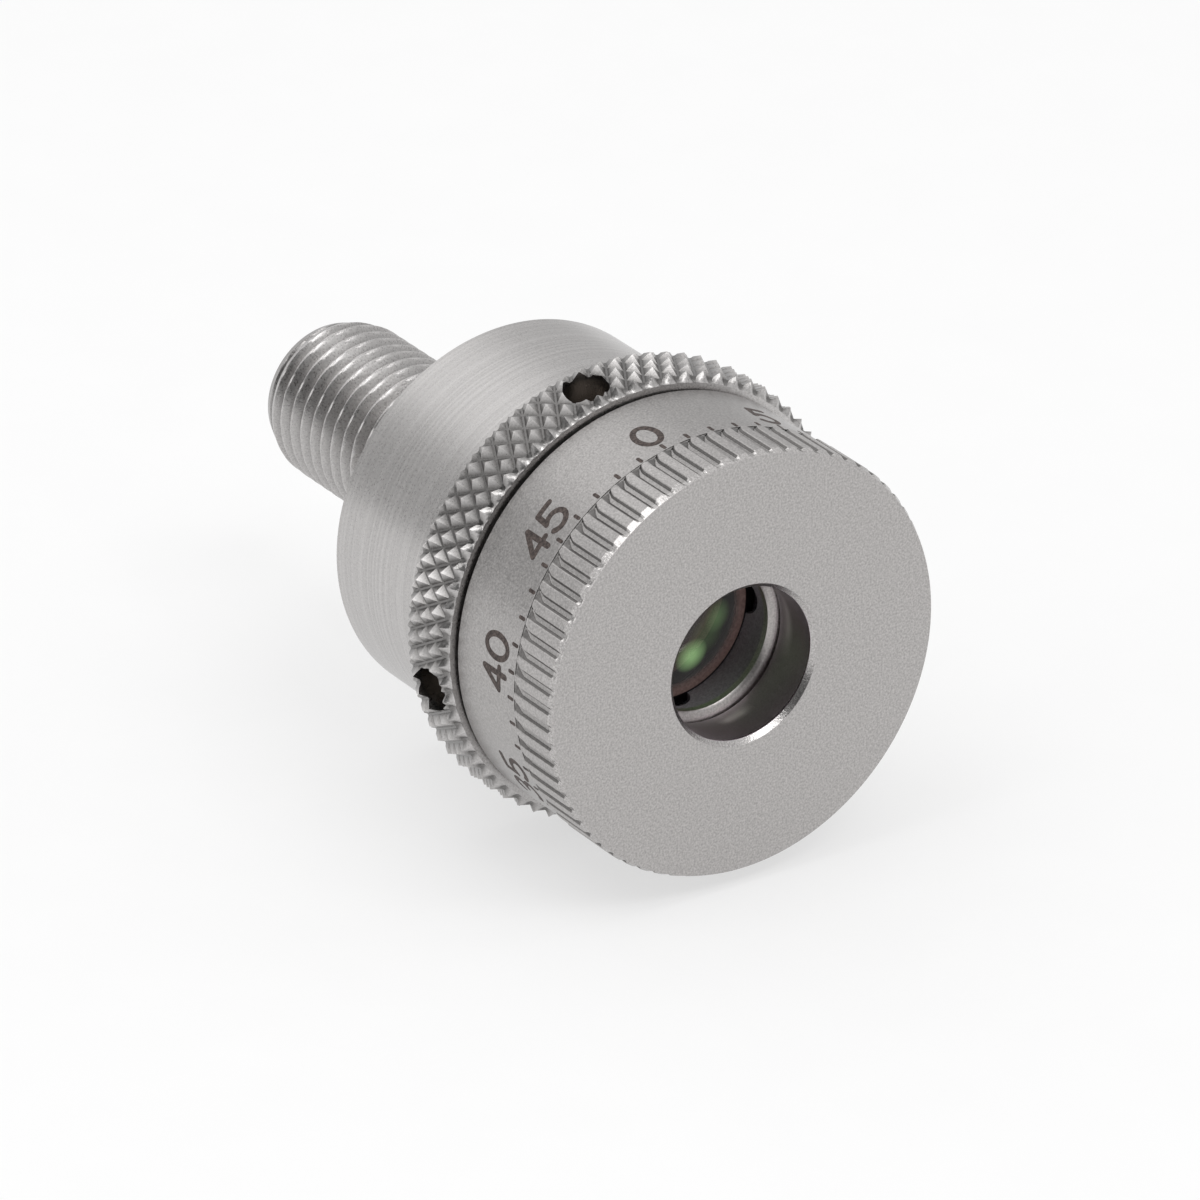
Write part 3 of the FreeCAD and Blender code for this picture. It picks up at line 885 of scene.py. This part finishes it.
def shade_in_knurl(x, radius):
    """Painted shade: tone falls on the straight grooves' walls and floors and in the relief. It also falls
    over the band, most at its rear edge beside the locking ring.
    """
    rear = adjuster_front - knurl_length
    root = knurl_r - knurl_depth
    zone = between(x, rear, adjuster_front - 0.25 * MM, 0.02 * MM)
    # Painted shade on the grooves' walls and floors and in the relief.
    wall = between(radius, root + 0.015 * MM, knurl_r - 0.03 * MM, 0.015 * MM)
    floor = between(radius, root - 0.1 * MM, root + 0.015 * MM, 0.015 * MM)
    relief = between(x, rear - relief_width, rear - 0.02 * MM, 0.01 * MM)
    low = between(radius, root - 0.1 * MM, band_r - 0.01 * MM, 0.005 * MM)
    band = between(x, adjuster_rear + 0.01 * MM, rear - relief_width, 0.005 * MM)
    fall = stretch(x, adjuster_rear, adjuster_rear + 1.1 * MM, 0.24, 0.16)
    return 1 - zone * (wall * 0.60 + floor * 0.12 + 0.06) - relief * low * 0.4 - band * fall


def bore_shade_and_reflections(x, radius, turns):
    """Share and colour of painted shade in the front bore, a duller, browner tone, with two painted
    reflections at its rear as light patches.
    """
    # Colour of the painted shade on the bore wall.
    bore_shade_colour = (0.41, 0.34, 0.39, 1.0)
    # Colour of the painted reflections.
    light = (1.0, 0.92, 0.95, 1.0)
    edge = adjuster_front - aperture_edge
    bore = stretch(radius, aperture_rear_r + 0.05 * MM, aperture_rear_r + 0.1 * MM, 1.0, 0.0)
    bore = bore * stretch(x, edge, edge + 0.1 * aperture_edge, 1.0, 0.0)
    # Two painted reflections, light patches at set turns round the bore wall.
    painted_reflections = between(turns, 0.215, 0.255, 0.06) * 0.8 + between(turns, 0.445, 0.475, 0.025)
    reflections_rear, reflections_front = 10.9 * MM, 11.05 * MM
    painted_reflections = painted_reflections * between(x, reflections_rear, reflections_front, 0.35 * MM)
    return bore * (0.6 + painted_reflections * 0.4), mixed(painted_reflections, bore_shade_colour, light)


def on_front_edges(x, radius):
    """Roughness share: the band and the machined edges round the front face and the bore are smoother."""
    edges = between(x, adjuster_front - 0.25 * MM, adjuster_front - 0.012 * MM, 0.01 * MM)
    return 1 - edges * 0.4 - stretch(x, ticks_front, ticks_front + 0.1 * MM, 0.22, 0.0)


def shade_in_thread(x, radius):
    """Painted shade: tone falls towards the nipple's thread root, but not on its tip."""
    # Painted shade in the thread's root.
    share = stretch(radius, nipple_r - nipple_thread_depth, nipple_r - 0.04 * MM, 0.62, 1.0)
    tip = stretch(x, nipple_tip, nipple_tip + 0.02 * MM, 1.0, 0.0)
    return tip + (1 - tip) * share


def matt_black(name, level, rough):
    """Blackened metal: dark, with a fine uneven sheen."""
    material, place = new_material(name)
    cloud = noise(place, 12000.0, 3.0)
    tone = spread(cloud, 0.0, 1.0)
    low, high = ((k, k * 0.96, k * 1.02, 1.0) for k in (0.75 * level, 1.25 * level))
    return principled(material, place, {
        "Base Color": mixed(tone, low, high),
        "Roughness": spread(cloud, rough - 0.08, rough + 0.08),
        "Specular IOR Level": 0.4,
    })


def bronze(name):
    """Plain bronze with a cloudy tone."""
    material, place = new_material(name)
    cloud = noise(place, 1500.0, 3.0)
    return principled(material, place, {
        "Base Color": mixed(cloud, (0.44, 0.27, 0.12, 1.0), (0.55, 0.36, 0.17, 1.0)),
        "Metallic": 1.0,
        "Roughness": spread(cloud, 0.3, 0.45),
    })


def laser_ink(name):
    """Brown-black laser mark whose tone breaks up in a fine grain."""
    material, place = new_material(name)
    speckle = stretch(noise(place, 9000.0, 3.0), 0.35, 0.65, 0.0, 1.0)
    return principled(material, place, {
        "Base Color": mixed(speckle, (0.035, 0.026, 0.024, 1.0), (0.10, 0.078, 0.07, 1.0)),
        "Roughness": 0.6,
        "Specular IOR Level": 0.3,
    })


def coated_glass(name):
    """Lens glass with a green coating inside a ground brown rim.

    Emission Color holds painted reflections of the coating, which glow: a grey veil and soft green spots,
    each of which falls with the distance from its centre. A Mix Shader goes over to the rim's finish
    between two radii. The rim glows a faint brown, painted light, and goes black at its outer edge, painted
    shade.
    """
    material, place = new_material(name)
    haze = noise(place, 900.0, 2.0)
    fine = noise(place, 9000.0, 2.0)
    radius = cylindrical(place)[1]

    def spot(y, z, full, none):
        centre = (lens_vertex - 0.2 * MM, y * MM, z * MM)
        settings = {"operation": "DISTANCE"}
        away = place.node("ShaderNodeVectorMath", settings, {0: place, 1: centre}, "Value")
        return stretch(away, full * MM, none * MM, 1.0, 0.0)

    black = (0.004, 0.003, 0.003, 1.0)
    green = (0.20, 0.33, 0.15, 1.0)
    # Painted reflections: a bright green glint and two faint spots, given as glow.
    glint = spot(0.6, -1.55, 0.15, 0.75)
    faint = spot(1.75, -0.25, 0.1, 0.7) * 0.28 + spot(1.2, -0.85, 0.2, 0.9) * 0.12
    glow = glint + (1 - glint) * faint
    # Painted reflection: a grey veil of glow that grows towards the rim.
    veil = stretch(radius, 1.4 * MM, lens_rim_r, 0.015, 0.028)
    glass = place.node("ShaderNodeBsdfPrincipled", {}, {
        "Base Color": (0.86, 0.88, 0.86, 1.0),
        "Roughness": spread(haze, 0.0, 0.02),
        "Transmission Weight": 1.0,
        "IOR": 1.58,
        "Specular Tint": (0.95, 1.0, 0.95, 1.0),
        "Emission Color": mixed(glow, mixed(veil, grey(0.0), grey(1.0, 0.03)), green),
        "Emission Strength": 1.0,
    })
    ground = spread(fine, 0.0, 1.0)
    brown = mixed(ground, (0.24, 0.17, 0.155, 1.0), (0.40, 0.30, 0.28, 1.0))
    # Painted shade: a black ring at the rim's outer edge, beside the mount.
    line = stretch(radius, mount_bore_r - 0.09 * MM, mount_bore_r - 0.05 * MM, 0.0, 1.0)
    rim = place.node("ShaderNodeBsdfPrincipled", {}, {
        "Base Color": mixed(line, brown, black),
        # The rim's emission is a faint painted glow.
        "Emission Color": mixed(line, (0.030, 0.018, 0.016, 1.0), grey(0.0)),
        "Emission Strength": 1.0,
        "Roughness": 0.45,
    })
    share = stretch(radius, mount_bore_r - 0.65 * MM, mount_bore_r - 0.3 * MM, 0.0, 1.0)
    surface = place.node("ShaderNodeMixShader", {}, {0: share, 1: glass, 2: rim})
    place.node("ShaderNodeOutputMaterial", {}, {"Surface": surface}, None)
    return material


def paint(obj, material):
    """Give an object one material and no other."""
    obj.data.materials.clear()
    obj.data.materials.append(material)


# Assembly

turned = steel("turned_steel", 0.48, 0.30, grain=0.03, lines=0.14, speckle=0.09, streaks=0.09)
cut_thread = steel("cut_thread", 0.48, 0.30, grain=0.25, lines=0.1, speckle=0.15, painted_shade=shade_in_thread)
knurled = steel("knurled", 0.48, 0.31, grain=0.25, speckle=0.16, painted_shade=shade_in_diamonds, painted_overlay=shade_in_holes)
blasted = steel("blasted", 0.45, 0.42, 0.35, speckle=0.22, warm=0.025,
                painted_shade=shade_in_knurl, polish=on_front_edges, painted_overlay=bore_shade_and_reflections)
fine_turned = steel("fine_turned", 0.43, 0.32, grain=0.1, lines=0.2, speckle=0.2, streaks=0.1,
                    warm=0.04)
spring_wire = steel("spring_wire", 0.42, 0.25, grain=0.02)
blackened = matt_black("blackened", 0.02, 0.55)
# Painted light: the mount's tone is raised far above blackened metal's, standing in for the light that the
# bore keeps off its front wall.
mount_black = matt_black("mount_black", 0.31, 0.55)
marking = laser_ink("laser_mark")
glass = coated_glass("coated_glass")
washer_bronze = bronze("washer_bronze")

PIECES = (
    (make_barrel, "housing", turned, "turned_steel", "barrel"),
    (make_receptacle, "housing", cut_thread, "thread_steel", "sma_receptacle"),
    (make_lock_ring, "lock_ring", knurled, "knurled_steel", "lock_ring"),
    (make_adjuster, "adjuster", blasted, "satin_steel", "adjuster_sleeve"),
    (make_carriage, "lens_cell", fine_turned, "cell_steel", "lens_carriage"),
    (make_mount, "lens_cell", mount_black, "blackened_steel", "lens_mount"),
    (make_lens, "lens_cell", glass, "coated_glass", "lens"),
)
for make, body, material, slot, node in PIECES:
    piece = make()
    paint(piece, material)
    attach(piece, body)
    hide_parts(node)

marks = make_marks()
paint(marks, marking)
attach(marks, "adjuster")

spring = make_spring()
paint(spring, spring_wire)
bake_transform(spring)
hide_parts("preload_spring")

KEPT = {
    "receptacle_clamp_ring": turned,
    "guide_pin_left": spring_wire,
    "guide_pin_right": spring_wire,
    "stop_ring": spring_wire,
    "slip_washer": washer_bronze,
    "lens_retainer": blackened,
}
for node, material in KEPT.items():
    paint(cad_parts[node], material)


# Floor, light and camera

def make_floor():
    """Large pale floor under the lowest point of the locking ring.

    Camera, glossy and transmission rays see six tenths of plain white in it, which keeps its shadows
    light.
    """
    half = 0.6
    spots = [(half * x, half * y, -lock_r) for x, y in ((-1, -1), (1, -1), (1, 1), (-1, 1))]
    mesh = bpy.data.meshes.new("floor")
    mesh.from_pydata(spots, [], [(0, 1, 2, 3)])
    floor = bpy.data.objects.new("floor", mesh)
    bpy.context.scene.collection.objects.link(floor)
    material, place = new_material("floor_paper")
    tooth = noise(place, 300.0, 2.0)
    paper = place.node("ShaderNodeBsdfPrincipled", {}, {
        "Base Color": mixed(tooth, grey(0.86), grey(0.90)),
        "Roughness": 0.9,
        "Specular IOR Level": 0.1,
    })
    white = place.node("ShaderNodeEmission", {}, {"Color": grey(1.0), "Strength": 1.0})
    kinds = ("Camera", "Glossy", "Transmission")
    rays = [place.node("ShaderNodeLightPath", {}, {}, "Is %s Ray" % kind) for kind in kinds]
    share = (rays[0] + rays[1] + rays[2]) * 0.6
    surface = place.node("ShaderNodeMixShader", {}, {0: share, 1: paper, 2: white})
    place.node("ShaderNodeOutputMaterial", {}, {"Surface": surface}, None)
    paint(floor, material)


def softbox(name, spot, width, height, power):
    """Rectangular lamp at a spot, turned to the origin. Sizes in metres, power in watts."""
    light = bpy.data.lights.new(name, "AREA")
    light.shape = "RECTANGLE"
    light.size = width
    light.size_y = height
    light.energy = power
    lamp = bpy.data.objects.new(name, light)
    lamp.location = spot
    lamp.rotation_euler = (-Vector(spot)).to_track_quat("-Z", "Y").to_euler()
    bpy.context.scene.collection.objects.link(lamp)


# Zones of the room that are dimmer than the rest, or brighter where the share is below zero. Each has a
# direction, the cosine to it at which it begins, the one at which it is full, and the share taken away.
ROOM_ZONES = (
    ((0.748, -0.495, 0.441), 0.75, 0.95, 0.85),
    ((-0.75, -0.62, 0.23), 0.88, 0.985, 0.5),
    ((0.92, -0.385, 0.04), 0.9, 0.985, 0.85),
    ((-0.75, 0.56, 0.35), 0.85, 0.97, 0.2),
    ((-0.75, 0.05, 0.66), 0.9, 0.98, -0.23),
    ((0.66, 0.68, 0.32), 0.8, 0.95, 0.25),
)


def make_world():
    """Soft grey room, brighter above, with a dark wall behind the camera and some dimmer zones."""
    world = bpy.data.worlds.new("studio")
    bpy.context.scene.world = world
    world.use_nodes = True
    tree = world.node_tree
    tree.nodes.clear()
    way = Value(tree, tree.nodes.new("ShaderNodeTexCoord").outputs["Generated"])

    def towards(spot, near, full, share):
        """Light left round a direction: all of it at one cosine, less a share at another."""
        settings = {"operation": "DOT_PRODUCT"}
        cosine = way.node("ShaderNodeVectorMath", settings, {0: way, 1: spot}, "Value")
        return 1 - stretch(cosine, near, full, 0.0, share)

    up = way.node("ShaderNodeSeparateXYZ", {}, {0: way}, 2)
    light = stretch(up, -0.1, 0.6, 0.75, 1.0)
    for zone in ROOM_ZONES:
        light = light * towards(*zone)
    shader = way.node("ShaderNodeBackground", {}, {"Color": grey(1.0), "Strength": light})
    way.node("ShaderNodeOutputWorld", {}, {"Surface": shader}, None)


def make_camera():
    """Camera at the photograph's angle: 56.5 degrees round and 26.2 above, level, with a long lens."""
    data = bpy.data.cameras.new("camera")
    data.lens = 300.0
    data.sensor_width = 36.0
    data.clip_start = 0.01
    camera = bpy.data.objects.new("camera", data)
    bpy.context.scene.collection.objects.link(camera)
    right = Vector((0.55174, 0.83402, 0.0))
    ahead = Vector((-0.74849, 0.49516, -0.44112))
    up = right.cross(ahead)
    turn = Matrix((right, up, -ahead)).transposed().to_4x4()
    spot = (0.27791, -0.18167, 0.16061)
    camera.matrix_world = Matrix.Translation(spot) @ turn
    bpy.context.scene.camera = camera


make_floor()
make_world()
softbox("key", (0.0, -0.135, 0.305), 0.12, 0.18, 0.14)
softbox("side", (-0.12, -0.28, 0.08), 0.20, 0.24, 0.09)
softbox("front", (0.199, 0.013, 0.275), 0.20, 0.10, 0.20)
make_camera()
bpy.context.scene.view_settings.view_transform = "Standard"
